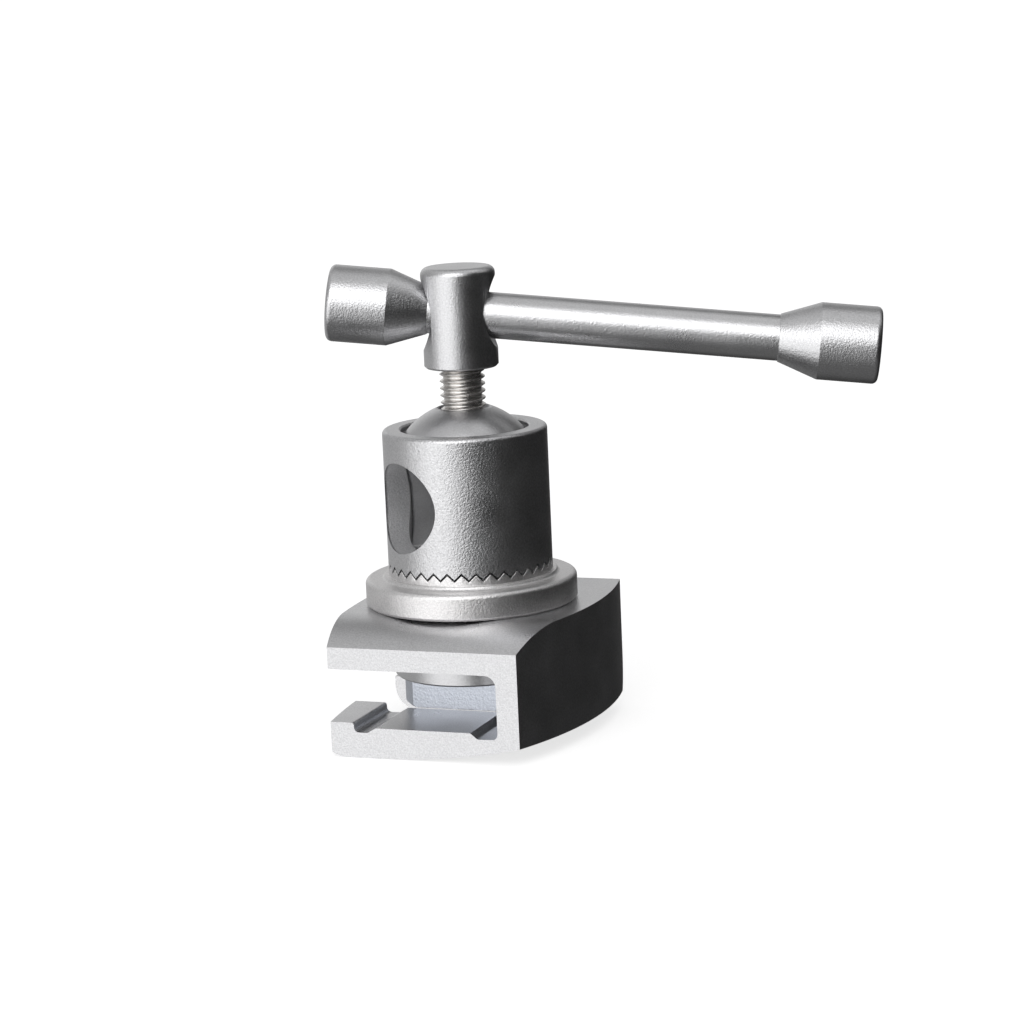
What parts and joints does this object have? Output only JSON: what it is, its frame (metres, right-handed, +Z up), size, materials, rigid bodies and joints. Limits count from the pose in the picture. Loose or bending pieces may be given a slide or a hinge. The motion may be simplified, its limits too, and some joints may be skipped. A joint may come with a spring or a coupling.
{
  "type": "equipment rail clamp with turning rod socket",
  "caption": "Clamp for a flat equipment rail with a turning toothed socket for a round rod, tightened by one screw with a sliding tommy bar.",
  "frame": {"origin": "on the main (screw) axis, in the plane of the hook's underside that the clamp stands on", "axes": "+Z up the main axis to the screw's head, +X to the closed wall of the rail slot, +Y to the back, along the rail"},
  "size_m": [0.0954, 0.0523, 0.0837],
  "materials": {
    "body_steel": "fine bead-blasted stainless steel, smoother on its upward faces",
    "blasted_steel": "fine bead-blasted stainless steel, pebbled grain",
    "ring_steel": "satin stainless steel, finely blasted",
    "dome_steel": "smooth satin stainless steel",
    "plunger_steel": "bright stainless steel with a coarse machined face",
    "turned_steel": "plain turned stainless steel",
    "thread_steel": "bright turned stainless steel thread",
    "head_steel": "satin turned stainless steel",
    "bar_steel": "satin drawn stainless steel bar",
    "spring_steel": "drawn spring steel wire"
  },
  "bodies": {
    "base": {"clamp_body": "body_steel", "toothed_ring": "ring_steel", "ring_screws": "turned_steel", "ring_dowels": "turned_steel"},
    "turret": {"thrust_washer": "turned_steel", "lift_spring": "spring_steel"},
    "socket": {"rod_socket": "blasted_steel", "guide_pin": "turned_steel"},
    "sleeve": {"draw_sleeve": "dome_steel"},
    "plunger": {"rail_plunger": "plunger_steel", "plunger_cap": "turned_steel", "cap_screw": "turned_steel"},
    "pad": {"thrust_pad": "turned_steel", "pad_clip": "spring_steel"},
    "screw": {"spindle": "thread_steel", "tee_head": "head_steel", "head_pin": "turned_steel"},
    "bar": {"tommy_bar": "bar_steel", "knob_short_end": "head_steel", "knob_long_end": "head_steel"}
  },
  "joints": [
    {"name": "swivel", "type": "hinge", "parent": "base", "child": "turret", "pos_m": [0, 0, 0.0288], "axis": [0, 0, 1], "continuous": true},
    {"name": "socket_lift", "type": "slide", "parent": "turret", "child": "socket", "axis": [0, 0, 1], "range_m": [0, 0.0015], "deforming": ["lift_spring"]},
    {"name": "sleeve_draw", "type": "slide", "parent": "turret", "child": "sleeve", "axis": [0, 0, 1], "range_m": [0, 0.0042]},
    {"name": "plunger_slide", "type": "slide", "parent": "base", "child": "plunger", "axis": [0, 0, 1], "range_m": [0, 0.00915]},
    {"name": "pad_feed", "type": "slide", "parent": "sleeve", "child": "pad", "axis": [0, 0, 1], "range_m": [-0.00676, 0.00031]},
    {"name": "screw_turn", "type": "hinge", "parent": "pad", "child": "screw", "pos_m": [0, 0, 0.06], "axis": [0, 0, 1], "range_deg": [-1944, 86.4]},
    {"name": "bar_slide", "type": "slide", "parent": "screw", "child": "bar", "axis": [0.9502, 0.2905, -0.1132], "range_m": [-0.0505, 0]}
  ],
  "couplings": [
    {"joint": "pad_feed", "follows": "screw_turn", "m_per_rad": 0.00019894}
  ]
}
